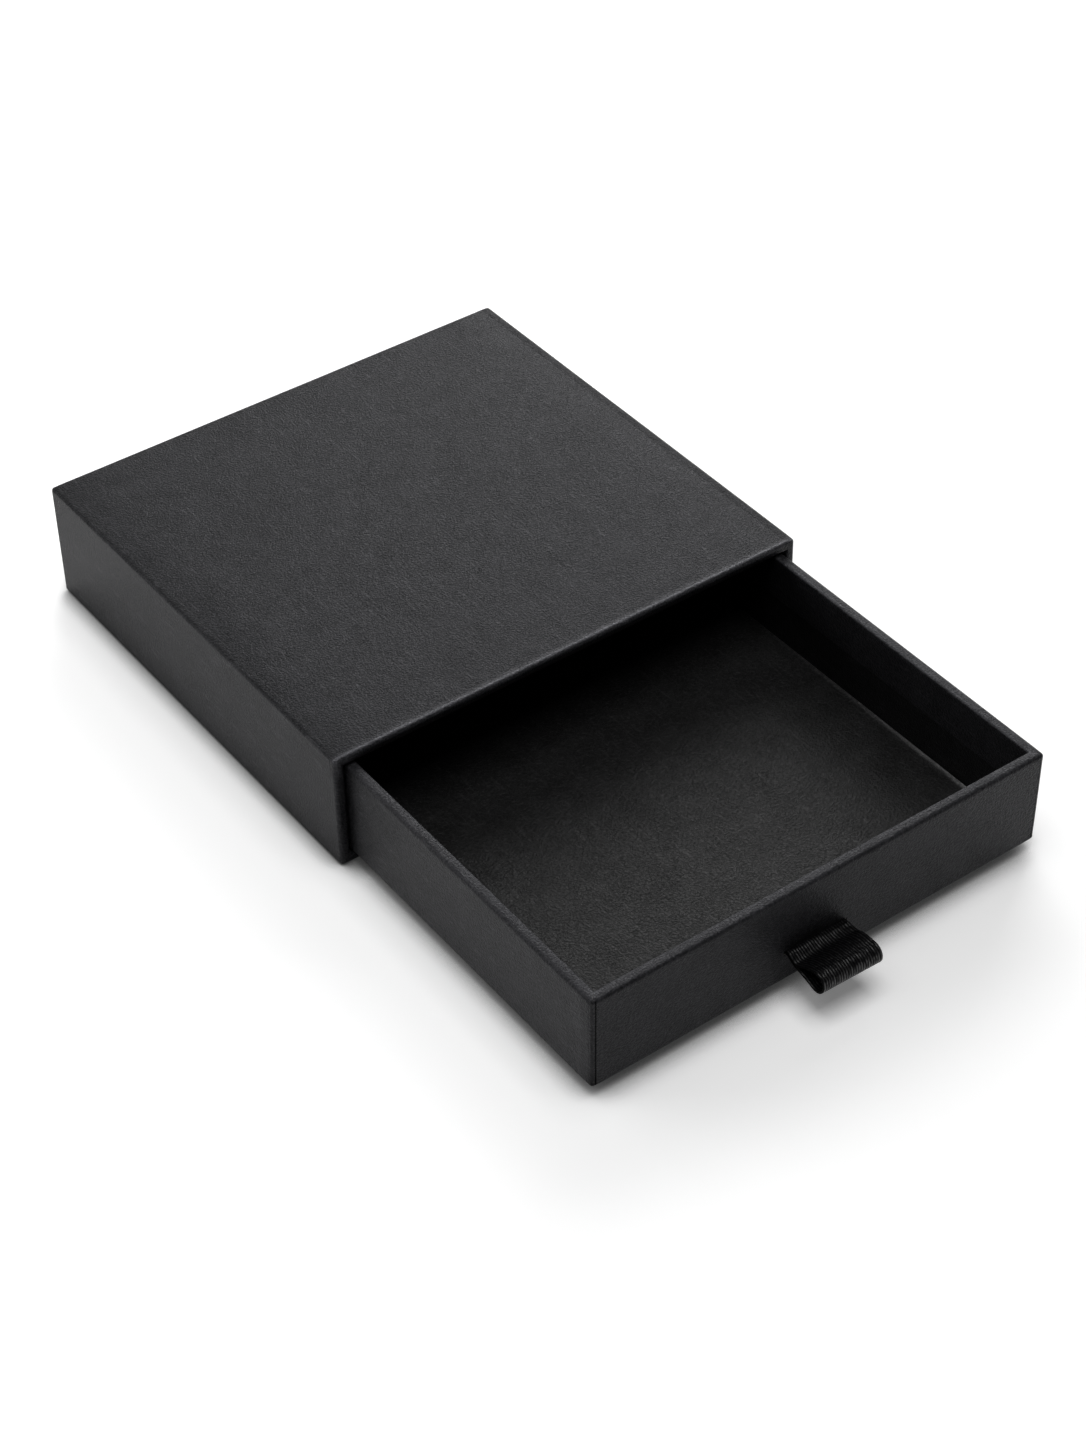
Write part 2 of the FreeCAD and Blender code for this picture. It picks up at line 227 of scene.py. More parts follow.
def press(place, move, reach):
    """Push the paper at a place by move, fading out over reach."""
    shape = bmesh.from_edit_mesh(bpy.context.edit_object.data)
    closest = min((vertex.co - place).length for vertex in shape.verts)
    pick("VERT", lambda vertex: (vertex.co - place).length < closest + TINY)
    bpy.ops.transform.translate(value=move, use_proportional_edit=True, use_proportional_connected=True,
                                proportional_edit_falloff="SMOOTH", proportional_size=reach)


def shift(test, move):
    """Move the vertices that pass the test."""
    pick("VERT", test)
    bpy.ops.transform.translate(value=move)


def bevel(radius, segments):
    """Round the selected edges."""
    bpy.ops.mesh.bevel(offset=radius, segments=segments, profile=0.5, affect="EDGES", clamp_overlap=False)


def take(piece):
    """Back to object mode with one piece selected."""
    stop_editing()
    piece.select_set(True)


def planes(spot, low, high):
    """How many of a box's side, end and level faces a point lies on."""
    return (near(abs(spot.x), high.x) + (near(spot.y, low.y) or near(spot.y, high.y))
            + (near(spot.z, low.z) or near(spot.z, high.z)))


def on_box_edge(edge, low, high):
    """Whether an edge runs along one of a box's own edges."""
    return planes(middle(edge), low, high) == 2 and all(planes(v.co, low, high) >= 2 for v in edge.verts)


def add_modifier(kind, **settings):
    """Add a modifier to the active piece and apply it."""
    bpy.ops.object.modifier_add(type=kind)
    modifier = bpy.context.object.modifiers[-1]
    for name, value in settings.items():
        setattr(modifier, name, value)
    bpy.ops.object.modifier_apply(modifier=modifier.name)


def ripple(depth, grain):
    """Stray from flat by up to half of depth, over stretches about as long as grain."""
    clouds = bpy.data.textures.new("pasted_paper", "CLOUDS")
    clouds.noise_scale = grain
    add_modifier("DISPLACE", texture=clouds, texture_coords="LOCAL", strength=depth, mid_level=0.5)


def mark(piece, fall, tone):
    """Note at each vertex how deep the paper lies and how much lighter or darker its colour is painted
    there, as painted light and shade and dark joint lines, for its material.
    """
    falls = piece.data.attributes.new("fall", "FLOAT", "POINT").data
    tones = piece.data.attributes.new("tone", "FLOAT", "POINT").data
    for number, vertex in enumerate(piece.data.vertices):
        falls[number].value = fall(vertex.co)
        tones[number].value = tone(vertex.co)


def fade(value, full, none):
    """1 at full, falling evenly to 0 at none."""
    return min(1, max(0, (none - value) / (none - full)))


def thicken(paper):
    """Give the sheet its thickness, behind the face that shows."""
    add_modifier("SOLIDIFY", thickness=paper, offset=-1, use_even_offset=True, use_rim=True)


def dress(piece, material, slot, body, *nodes):
    """Smooth and paint a finished piece, and put it on its body in place of its nodes."""
    take(piece)
    bpy.context.view_layer.objects.active = piece
    bpy.ops.object.shade_smooth_by_angle(angle=SMOOTH_ANGLE)
    piece.data.materials.clear()
    piece.data.materials.append(material)
    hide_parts(*nodes)
    if body:
        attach(piece, body)
    stop_editing()


# ----------------------------------------------------------------- materials

class Nodes:
    """A node tree, with short calls to add nodes to it and join them."""

    def __init__(self, name):
        self.material = bpy.data.materials.new(name)
        self.material.use_nodes = True
        self.tree = self.material.node_tree
        self.shader = self.tree.nodes["Principled BSDF"]

    def add(self, kind, inputs=(), **settings):
        """Add a node, set its settings, and set or join its inputs."""
        node = self.tree.nodes.new("ShaderNode" + kind)
        for name, value in settings.items():
            setattr(node, name, value)
        for name, value in dict(inputs).items():
            self.give(node, name, value)
        return node

    def give(self, node, name, value):
        """Set an input to a number or a colour, or join it to another node's output."""
        if isinstance(value, bpy.types.NodeSocket):
            self.tree.links.new(value, node.inputs[name])
        else:
            node.inputs[name].default_value = value

    def noise(self, where, scale, detail, kind="FBM", **inputs):
        """The value of a noise texture."""
        values = {"Vector": where, "Scale": scale, "Detail": detail, **inputs}
        return self.add("TexNoise", values, noise_type=kind, normalize=kind == "FBM").outputs[0]

    def maths(self, operation, first, second):
        """Two numbers put together."""
        return self.add("Math", {0: first, 1: second}, operation=operation).outputs[0]

    def spread(self, value, low, high, to_low, to_high):
        """A value taken from one range to another, and held in it."""
        return self.add("MapRange", {"Value": value, "From Min": low, "From Max": high,
                                     "To Min": to_low, "To Max": to_high}).outputs[0]

    def fibres(self, where, scale, angle):
        """Sparse straight fibres that lie at an angle."""
        turned = self.add("Mapping", {"Vector": where, "Rotation": (0.3, 0.4, math.radians(angle)),
                                      "Scale": (1, 0.12, 0.6)}).outputs["Vector"]
        return self.spread(self.noise(turned, scale, 0.0), 0.7, 0.8, 0, 1)

    def shade(self, base, factor):
        """A colour made darker or lighter by a number."""
        node = self.add("VectorMath", {0: base, "Scale": factor}, operation="SCALE")
        return node.outputs["Vector"]


def paper_material(name, base, grain, depth, roughness, specular, sheen):
    """Matt dyed paper: a fine grain with curled ridges, a few straight fibres, and soft mottling."""
    nodes = Nodes(name)
    where = nodes.add("TexCoord").outputs["Object"]
    fine = nodes.noise(where, 1 / grain, 1.5, Roughness=0.6)
    curls = nodes.noise(where, 0.55 / grain, 0.5, Roughness=0.5, Distortion=0.5)
    off_middle = nodes.maths("ABSOLUTE", nodes.maths("SUBTRACT", curls, 0.5), 0)
    ridges = nodes.spread(off_middle, 0, 0.04, 1, 0)
    fibres = nodes.maths("ADD", nodes.fibres(where, 0.8 / grain, 38), nodes.fibres(where, 0.8 / grain, -20))
    mottle = nodes.noise(where, 0.07 / grain, 2.0, Roughness=0.6)
    relief = nodes.maths("ADD", nodes.spread(fine, 0.25, 0.75, 0, 1), nodes.maths("MULTIPLY", ridges, 0.4))
    flecked = nodes.maths("ADD", relief, nodes.maths("MULTIPLY", fibres, 0.6))
    tone = nodes.maths("ADD", nodes.spread(flecked, 0.2, 1.3, 1 - depth, 1 + depth),
                       nodes.spread(mottle, 0.3, 0.7, -0.12, 0.12))
    # Each piece's "tone" attribute paints light and shade, and dark joint lines, into the paper's colour
    # and sheen.
    painted_light_and_joints = nodes.add("Attribute", attribute_name="tone").outputs["Fac"]
    tone = nodes.maths("MULTIPLY", tone, nodes.maths("ADD", painted_light_and_joints, 1))
    fall = nodes.add("Attribute", attribute_name="fall").outputs["Fac"]
    relief = nodes.maths("ADD", relief, nodes.maths("MULTIPLY", fibres, 0.15))
    relief = nodes.maths("SUBTRACT", relief, nodes.maths("DIVIDE", fall, RELIEF))
    nodes.give(nodes.shader, "Base Color", nodes.shade((*base, ), tone))
    nodes.give(nodes.shader, "Specular IOR Level", nodes.maths("MULTIPLY", tone, specular))
    nodes.give(nodes.shader, "Specular Tint", (sheen, sheen, 1, 1))
    patchy = nodes.spread(mottle, 0.3, 0.7, roughness - 0.02, roughness + 0.02)
    nodes.give(nodes.shader, "Roughness", patchy)
    bump = nodes.add("Bump", {"Height": relief, "Strength": 1.0, "Distance": RELIEF})
    nodes.give(nodes.shader, "Normal", bump.outputs[0])
    return nodes.material


def board_material(base):
    """Grey pulp board with darker and paler flecks."""
    nodes = Nodes("greyboard")
    where = nodes.add("TexCoord").outputs["Object"]
    pulp = nodes.noise(where, 900, 4.0, Roughness=0.7)
    flecks = nodes.noise(where, 2600, 1.0)
    tone = nodes.maths("ADD", nodes.spread(pulp, 0.3, 0.7, 0.8, 1.15),
                       nodes.spread(flecks, 0.62, 0.72, 0, -0.35))
    nodes.give(nodes.shader, "Base Color", nodes.shade((*base, ), tone))
    nodes.give(nodes.shader, "Roughness", 0.9)
    bump = nodes.add("Bump", {"Height": pulp, "Strength": 0.8, "Distance": 0.06 * MM})
    nodes.give(nodes.shader, "Normal", bump.outputs[0])
    return nodes.material


def tape_material(base):
    """Dark gummed paper tape, its fibres along the strip."""
    nodes = Nodes("stay_tape")
    where = nodes.add("TexCoord").outputs["Object"]
    fibres = nodes.noise(where, 1500, 3.0, Distortion=1.0)
    nodes.give(nodes.shader, "Base Color", nodes.shade((*base, ), nodes.spread(fibres, 0.3, 0.7, 0.7, 1.4)))
    nodes.give(nodes.shader, "Roughness", 0.75)
    bump = nodes.add("Bump", {"Height": fibres, "Strength": 0.6, "Distance": 0.02 * MM})
    nodes.give(nodes.shader, "Normal", bump.outputs[0])
    return nodes.material


def ribbon_material(base, cloth):
    """Black woven ribbon: fine ribs along its length, which its UV map follows, broken by the weft."""
    nodes = Nodes("ribbon_satin")
    flat = nodes.add("UVMap", uv_map="UVMap").outputs["UV"]
    laid = nodes.add("Mapping", {"Vector": flat, "Scale": (cloth[0], cloth[1], 1)}).outputs["Vector"]
    rib = 0.6 * MM
    waves = {"Vector": laid, "Scale": 0.314 / rib, "Distortion": 1.2, "Detail": 1.0, "Detail Scale": 1.6}
    ribs = nodes.add("TexWave", waves, wave_type="BANDS", bands_direction="X").outputs["Fac"]
    stitches = nodes.noise(nodes.add("Mapping", {"Vector": laid, "Scale": (1, 0.5, 1)}).outputs["Vector"],
                           1 / rib, 1.0)
    bands = nodes.noise(laid, 0.08 / rib, 2.0)
    weave = nodes.maths("MULTIPLY", ribs, nodes.spread(stitches, 0.35, 0.6, 0.25, 1))
    tone = nodes.maths("ADD", nodes.spread(weave, 0, 1, 0.6, 1.6), nodes.spread(bands, 0.3, 0.7, -0.2, 0.2))
    nodes.give(nodes.shader, "Base Color", nodes.shade((*base, ), tone))
    nodes.give(nodes.shader, "Roughness", nodes.spread(weave, 0, 1, 0.5, 0.36))
    nodes.give(nodes.shader, "Specular IOR Level", nodes.spread(weave, 0, 1, 0.02, 0.6))
    bump = nodes.add("Bump", {"Height": weave, "Strength": 1.0, "Distance": RELIEF})
    nodes.give(nodes.shader, "Normal", bump.outputs[0])
    return nodes.material


def paper(context, name):
    """One of the black papers, made once."""
    name = "black_" + name
    if name in bpy.data.materials:
        return bpy.data.materials[name]
    colours = context.scene.box_colours
    base, *finish = {
        "black_covering_paper": (colours.covering, 0.42 * MM, 0.3, 0.42, 0.155, 0.92),
        "black_lining_paper": (colours.lining, 0.42 * MM, 0.25, 0.5, 0.11, 1),
        "black_floor_card": (colours.card, 0.5 * MM, 0.3, 0.42, 0.155, 1),
    }[name]
    return paper_material(name, base, *finish)


# -------------------------------------------------------------------- pieces

def rim_and_turn_in(opening, wall, turn_in, low, high):
    """From the open side's edges, cover the board's edge and run back along the wall inside."""
    pick("EDGE", lambda edge: edge.is_boundary)
    extrude((0, 0, 0))
    centre, size = (low + high) / 2, high - low
    shrink = [(size[axis] - 2 * wall) / size[axis] for axis in (X, Y, Z)]
    shrink[opening] = 1
    bpy.ops.transform.resize(value=shrink, center_override=centre)
    extrude([turn_in if axis == opening else 0 for axis in (X, Y, Z)])


def gap_between(first, second, sizes):
    """The board's and both papers' thickness between two nested nodes' sides."""
    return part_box(second)[0].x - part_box(first)[0].x + 2 * sizes.paper


class GIFTBOX_OT_sleeve_wrap(bpy.types.Operator):
    """Covering paper of the sleeve, over the walls and turned in at the mouth"""
    bl_idname = "giftbox.sleeve_wrap"
    bl_label = "Sleeve Wrap"

    def execute(self, context):
        sizes = context.scene.paper_sizes
        low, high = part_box("sleeve_outer_wrap")
        wall = gap_between("sleeve_outer_wrap", "sleeve_inner_lining", sizes)
        arris, side = sizes.arris, high.x
        piece = start_box("sleeve_wrap", low, high, lambda face: face.normal.y < -0.9)
        rim_and_turn_in(Y, wall, sizes.sleeve_turn_in, low, high)
        joint, support = sizes.board + sizes.paper, 1.25 * arris
        groove = 0.15 * MM
        slice_at(X, [way * (side - inset) for way in (-1, 1) for inset in (support, sizes.flap)])
        slice_at(X, [way * (side - inset) for way in (-1, 1)
                     for inset in (joint - groove, joint, joint + groove)],
                 lambda face: abs(face.normal.z) > 0.9
                 and (near(middle(face).z, low.z) or near(middle(face).z, high.z)))
        slice_at(X, steps(-side + sizes.flap, side - sizes.flap, PANEL_CUTS)[1:-1])
        slice_at(Y, steps(low.y + sizes.flap, high.y - sizes.flap, PANEL_CUTS))
        slice_at(Y, [low.y + support, low.y + 2 * support, high.y - support])
        slice_at(Z, [low.z + support, high.z - support, low.z + sizes.back_flap, high.z - sizes.back_flap])
        slice_at(Z, steps(low.z + sizes.back_flap, high.z - sizes.back_flap, WALL_CUTS)[1:-1])
        self.open_windows(sizes, low, high)
        self.round_edges(low, high, wall, arris)
        self.show_joints(low, high, joint, groove, sizes)
        self.open_mitres(low, high, wall, sizes)
        self.soften_corners(low, high)
        take(piece)
        ripple(sizes.unevenness, PASTE_GRAIN)
        thicken(sizes.paper)
        mark(piece, lambda spot: self.fall(spot, low, high, joint, sizes),
             lambda spot: self.tone(spot, low, high, joint, sizes))
        dress(piece, paper(context, "covering_paper"), "covering_paper", "sleeve", "sleeve_outer_wrap")
        return {"FINISHED"}

    def open_windows(self, sizes, low, high):
        """Leave the board bare between the flaps, under the sleeve and behind it."""
        def between_flaps(face):
            spot = middle(face)
            inside = abs(spot.x) < high.x - sizes.flap
            under = near(spot.z, low.z) and low.y + sizes.flap < spot.y < high.y - sizes.flap
            behind = near(spot.y, high.y) and low.z + sizes.back_flap < spot.z < high.z - sizes.back_flap
            return inside and (under or behind)
        pick("FACE", between_flaps)
        bpy.ops.mesh.delete(type="FACE")

    def round_edges(self, low, high, wall, arris):
        """Round the box's edges, and those of the mouth inside and out."""
        def on_inner_mouth(edge):
            spot = middle(edge)
            inner = (near(abs(spot.x), high.x - wall)
                     or near(spot.z, low.z + wall) or near(spot.z, high.z - wall))
            return near(spot.y, low.y) and inner and all(near(v.co.y, low.y) for v in edge.verts)

        pick("EDGE", lambda edge: not edge.is_boundary
             and (on_box_edge(edge, low, high) or on_inner_mouth(edge)))
        bevel(arris, 5)

    def show_joints(self, low, high, joint, groove, sizes):
        """Draw the board joints in the paper on top and underneath, and let its edges fall."""
        for z, down in ((high.z, -1), (low.z, 1)):
            shift(lambda v: near(v.co.z, z) and near(abs(v.co.x), high.x - joint),
                  (0, 0, down * sizes.joint_dip))
            shift(lambda v: abs(v.co.z - z) < 0.3 * sizes.arris
                  and abs(v.co.x) > high.x - joint + 1.5 * groove, (0, 0, down * sizes.edge_drop))

    def open_mitres(self, low, high, wall, sizes):
        """Part the turned-in flaps along the diagonals of the mouth."""
        arris = sizes.arris

        def inset(spot):
            from_side = high.x - abs(spot.x)
            from_end = min(spot.z - low.z, high.z - spot.z)
            return from_side, from_end

        def on_mitre(edge):
            return all(abs(inset(v.co)[0] - inset(v.co)[1]) < 3 * TINY and inset(v.co)[0] > arris - TINY
                       and inset(v.co)[0] < wall + TINY for v in edge.verts)

        if not pick("EDGE", on_mitre):
            raise RuntimeError("the sleeve's mouth has no mitres")
        bpy.ops.mesh.edge_split(type="EDGE")
        for way in (-1, 1):
            def on_side_flap(vertex):
                from_side, from_end = inset(vertex.co)
                faces = [middle(face) for face in vertex.link_faces]
                return (vertex.is_boundary and vertex.co.x * way > 0
                        and abs(from_side - from_end) < 3 * TINY and arris - TINY < from_side < wall + TINY
                        and all(inset(spot)[0] < inset(spot)[1] for spot in faces))
            shift(on_side_flap, (way * sizes.mitre_gap, 0, 0))

    def soften_corners(self, low, high):
        """Press the mouth's corners in a little, the near left one most."""
        press(Vector((low.x, low.y, high.z)), (0.04 * MM, 0.04 * MM, -0.06 * MM), 5 * MM)
        press(Vector((high.x, low.y, high.z)), (-0.04 * MM, 0.04 * MM, -0.04 * MM), 4 * MM)
        press(Vector((low.x, low.y, low.z)), (0.04 * MM, 0.04 * MM, 0.04 * MM), 4 * MM)

    def fall(self, spot, low, high, joint, sizes):
        """The paper dips past the board joints on top, and into a dent at the near left corner."""
        from_side, from_top = high.x - abs(spot.x), high.z - spot.z
        depth, past_joint = 0, 0.12 * MM
        if from_top < 0.3 * sizes.arris:
            depth += past_joint * fade(from_side, 0.5 * sizes.arris, joint)
        dent = (spot - Vector((low.x, low.y, high.z))).length
        return depth + sizes.dent * fade(dent, 0.3 * MM, 5.5 * MM) ** 2

    def tone(self, spot, low, high, joint, sizes):
        """Painted shade past the board joint on top and towards the back on the sides, a dark line along
        the joint, painted highlights along the mouth and at its left corner, and painted light on the
        mouth's edge.
        """
        from_side, from_top = high.x - abs(spot.x), high.z - spot.z
        from_mouth, from_back = spot.y - low.y, high.y - spot.y
        painted_edge_shade, joint_line, side = 0.16, 0.4, 0.25
        painted_corner_highlight, painted_mouth_highlight, painted_mouth_edge_light = 1.2, 3, 1.2
        tone = 0
        if from_top < 0.3 * sizes.arris:
            # Painted shade on the top between the board joint and the edge.
            tone -= painted_edge_shade * fade(from_side, joint - 0.1 * MM, joint)
            tone -= joint_line * fade(abs(from_side - joint), 0.05 * MM, 0.1 * MM)
        elif from_side < 0.3 * sizes.arris:
            # Painted shade on the sides, growing towards the back.
            tone -= side * fade(from_back, 5 * MM, 60 * MM)
        corner = (spot - Vector((low.x + sizes.arris, low.y, high.z - sizes.arris))).length
        # Painted highlight on the fold at the mouth's near left corner.
        tone += painted_corner_highlight * fade(corner, 0.4 * MM, 1.1 * MM)
        if from_top < sizes.arris:
            # Painted highlight along the mouth's arris.
            tone += painted_mouth_highlight * fade(abs(from_mouth - 0.8 * sizes.arris), 0.15 * MM, 0.45 * MM)
            # Painted light on the mouth's edge, above the tray.
            tone += painted_mouth_edge_light * fade(from_mouth, 0.1 * MM, 0.3 * MM)
        return tone


class GIFTBOX_OT_tray_wrap(bpy.types.Operator):
    """Covering paper of the tray, up the walls, over the rim and down inside"""
    bl_idname = "giftbox.tray_wrap"
    bl_label = "Tray Wrap"

    def execute(self, context):
        sizes = context.scene.paper_sizes
        low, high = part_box("tray_outer_wrap")
        wall = gap_between("tray_outer_wrap", "tray_inner_lining", sizes)
        arris, side, seam = sizes.arris, high.x, sizes.seam_inset
        piece = start_box("tray_wrap", low, high, lambda face: face.normal.z > 0.9)
        rim_and_turn_in(Z, wall, -sizes.tray_turn_in, low, high)
        support, joint = 1.5 * arris, sizes.board + sizes.paper
        slice_at(X, [way * (side - inset) for way in (-1, 1)
                     for inset in (seam, support, 1.5 * joint, sizes.flap)])
        slice_at(X, steps(-side + sizes.flap, side - sizes.flap, PANEL_CUTS)[1:-1])
        slice_at(Y, [edge - way * inset for edge, way in ((low.y, -1), (high.y, 1))
                     for inset in (seam, support, 1.5 * joint, sizes.flap)])
        slice_at(Y, steps(low.y + sizes.flap, high.y - sizes.flap, PANEL_CUTS)[1:-1])
        slice_at(Z, [low.z + support, high.z - support, high.z - joint, high.z - 1.5 * joint])
        slice_at(Z, steps(low.z + support, high.z - 1.5 * joint, WALL_CUTS)[1:-1])
        self.open_window(sizes, low, high)
        self.cut_slit(low)
        raise_pad(low.y + wall)
        self.round_edges(low, high, wall, sizes)
        self.let_edges_fall(low, high, sizes)
        self.open_seams(low, high, wall, sizes)
        self.soften_corners(low, high)
        take(piece)
        ripple(sizes.unevenness, PASTE_GRAIN)
        thicken(sizes.paper)
        mark(piece, lambda spot: self.fall(spot, low, high, sizes),
             lambda spot: self.tone(spot, low, high, wall, sizes))
        dress(piece, paper(context, "covering_paper"), "covering_paper", "tray", "tray_outer_wrap")
        return {"FINISHED"}

    def open_window(self, sizes, low, high):
        """Leave the board bare between the flaps underneath."""
        pick("FACE", lambda face: near(middle(face).z, low.z) and abs(middle(face).x) < high.x - sizes.flap
             and low.y + sizes.flap < middle(face).y < high.y - sizes.flap)
        bpy.ops.mesh.delete(type="FACE")

    def cut_slit(self, low):
        """Open the slit in the front that the ribbon comes through."""
        tails_low, tails_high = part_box("ribbon_tails")
        slit = hinge().z
        rise, play, around = 0.45 * MM, 0.5 * MM, 5 * MM
        left, right = tails_low.x - play, tails_high.x + play

        def at_slit(face):
            spot = middle(face)
            beside = left - around < spot.x < right + around
            return near(spot.y, low.y) and beside and abs(spot.z - slit) < around

        slice_at(X, [left, right], at_slit)
        slice_at(Z, [slit - rise, slit + rise], at_slit)
        pick("FACE", lambda face: near(middle(face).y, low.y) and left < middle(face).x < right
             and abs(middle(face).z - slit) < rise)
        bpy.ops.mesh.delete(type="FACE")

    def round_edges(self, low, high, wall, sizes):
        """Round the box's edges, and those of the rim inside and out."""
        def on_inner_rim(edge):
            spot = middle(edge)
            inner = (near(abs(spot.x), high.x - wall)
                     or near(spot.y, low.y + wall) or near(spot.y, high.y - wall))
            return near(spot.z, high.z) and inner and all(near(v.co.z, high.z) for v in edge.verts) and all(
                abs(v.co.x) < high.x - wall + TINY and low.y + wall - TINY < v.co.y < high.y - wall + TINY
                for v in edge.verts)

        pick("EDGE", lambda edge: not edge.is_boundary and on_box_edge(edge, low, high))
        bevel(sizes.arris, 5)
        pick("EDGE", lambda edge: not edge.is_boundary and on_inner_rim(edge))
        bevel(sizes.inner_arris, 4)

    def let_edges_fall(self, low, high, sizes):
        """Let the side walls' paper fall towards the corners, past the ends of the boards."""
        for way in (-1, 1):
            shift(lambda v: v.co.x * way > high.x - 0.3 * sizes.arris
                  and (v.co.y < low.y + 1.6 * sizes.arris or v.co.y > high.y - 1.6 * sizes.arris),
                  (-way * sizes.edge_drop, 0, 0))

    def open_seams(self, low, high, wall, sizes):
        """Part the front and back flaps from the side flaps: up the corners and across the rim."""
        arris, seam = sizes.arris, sizes.seam_inset

        def inset(spot):
            return high.x - abs(spot.x), min(spot.y - low.y, high.y - spot.y)

        def on_seam(spot):
            from_side, from_end = inset(spot)
            upright = abs(from_side - seam) < 3 * TINY and from_end < seam + TINY
            mitre = abs(from_side - from_end) < 3 * TINY and seam - TINY < from_side < wall + TINY
            return (upright or mitre) and spot.z > low.z + arris - TINY

        if not pick("EDGE", lambda edge: all(on_seam(v.co) for v in edge.verts) and on_seam(middle(edge))):
            raise RuntimeError("the tray's corners have no seams")
        bpy.ops.mesh.edge_split(type="EDGE")

        def on_side_flap(vertex):
            faces = [middle(face) for face in vertex.link_faces]
            return all(inset(spot)[0] < max(seam, inset(spot)[1]) for spot in faces)

        for end, way in ((low.y, 1), (high.y, -1)):
            shift(lambda v: abs(v.co.y - end) < 0.3 * arris and inset(v.co)[0] < seam + TINY
                  and v.co.z > low.z + arris + TINY and on_side_flap(v), (0, way * sizes.lap_step, 0))
        for way in (-1, 1):
            shift(lambda v: v.is_boundary and v.co.x * way > 0 and on_seam(v.co)
                  and inset(v.co)[1] > 0.5 * arris and v.co.z > high.z - sizes.tray_turn_in - TINY
                  and on_side_flap(v), (way * sizes.mitre_gap, 0, -0.4 * sizes.lap_step))

    def soften_corners(self, low, high):
        """Press the front corners in a little."""
        press(Vector((low.x, low.y, low.z)), (0.04 * MM, 0.04 * MM, 0.04 * MM), 3 * MM)
        press(Vector((high.x, low.y, low.z)), (-0.04 * MM, 0.04 * MM, 0.04 * MM), 3 * MM)

    def fall(self, spot, low, high, sizes):
        """The side's paper dips towards the corners, where the front and back flaps lie over it."""
        from_side, from_end = high.x - abs(spot.x), min(spot.y - low.y, high.y - spot.y)
        if from_side > 0.3 * sizes.arris:
            return 0
        return sizes.corner_fall * fade(from_end, sizes.arris, 3.3 * sizes.arris) ** 2

    def tone(self, spot, low, high, wall, sizes):
        """Painted shade in the seams and at the bottom corners, and a painted highlight on the rim, most at
        its inner edge and its mitres.
        """
        from_side, from_end = high.x - abs(spot.x), min(spot.y - low.y, high.y - spot.y)
        corner = Vector((from_side, from_end, spot.z - low.z)).length
        painted_corner_shade, seam, rim, painted_inner_edge_highlight, mitre = 0.7, 1, 0.4, 0.45, 0.8
        # Painted shade at the bottom corners.
        tone = -painted_corner_shade * fade(corner, 0.9 * MM, 2.2 * MM)
        if from_end < 0.3 * sizes.arris and abs(from_side - sizes.seam_inset) < 0.05 * MM:
            # Painted shade in the upright seam.
            tone -= seam
        if spot.z > high.z - 0.3 * sizes.arris:
            # Painted highlight over the rim, strongest at its inner edge.
            tone += rim + painted_inner_edge_highlight * fade(abs(min(from_side, from_end) - wall), 0.1 * MM, 0.8 * MM)
            if abs(from_side - from_end) < 0.15 * MM and from_side > sizes.seam_inset:
                # Painted highlight along the mitres.
                tone += mitre
        return tone


def hinge():
    """Where the ribbon loop turns: the middle of the slit, just in front of the tray."""
    return Vector(next(joint for joint in frame["joints"] if joint["name"] == "loop_lift")["pos_m"])


def raise_pad(face_y):
    """Lift the paper at face_y over the ribbon's tails and the tape on them."""
    tape_low, tape_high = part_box("ribbon_anchor_tape")
    tails_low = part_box("ribbon_tails")[0]
    rise = tape_high.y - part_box("tray_front_board")[1].y
    spare, slope = 0.3 * MM, 1.3 * MM

    def on_wall(face):
        spot = middle(face)
        return near(spot.y, face_y) and tape_low.x - 8 * MM < spot.x < tape_high.x + 8 * MM

    left, right = tape_low.x - spare, tape_high.x + spare
    bottom, top = tails_low.z - spare, tape_high.z + spare
    slice_at(X, [left - slope, left, right, right + slope], on_wall)
    slice_at(Z, [bottom - slope, bottom, top, top + slope], on_wall)
    shift(lambda v: near(v.co.y, face_y) and left - TINY < v.co.x < right + TINY
          and bottom - TINY < v.co.z < top + TINY, (0, rise, 0))


class GIFTBOX_OT_tray_lining(bpy.types.Operator):
    """Lining paper on the tray's floor and walls, under the turned-in covering paper"""
    bl_idname = "giftbox.tray_lining"
    bl_label = "Tray Lining"

    def execute(self, context):
        sizes = context.scene.paper_sizes
        low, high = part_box("tray_inner_lining")
        inward = Vector((sizes.paper, sizes.paper, sizes.paper))
        low, high = low + inward, Vector((high.x - sizes.paper, high.y, high.z))
        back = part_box("tray_back_board")[0].y - sizes.paper
        high.y = back
        piece = start_box("tray_lining", low, high, lambda face: face.normal.z > 0.9)
        bpy.ops.mesh.select_all(action="SELECT")
        bpy.ops.mesh.flip_normals()
        slice_at(X, steps(low.x, high.x, 6 * MM)[1:-1])
        slice_at(Y, steps(low.y, high.y, 6 * MM)[1:-1])
        slice_at(Z, steps(low.z, high.z, 5 * MM)[1:-1])
        raise_pad(low.y)
        pick("EDGE", lambda edge: not edge.is_boundary and planes(middle(edge), low, high) == 2)
        bevel(0.35 * MM, 3)
        take(piece)
        thicken(sizes.paper)
        dress(piece, paper(context, "lining_paper"), "lining_paper", "tray", "tray_inner_lining")
        return {"FINISHED"}


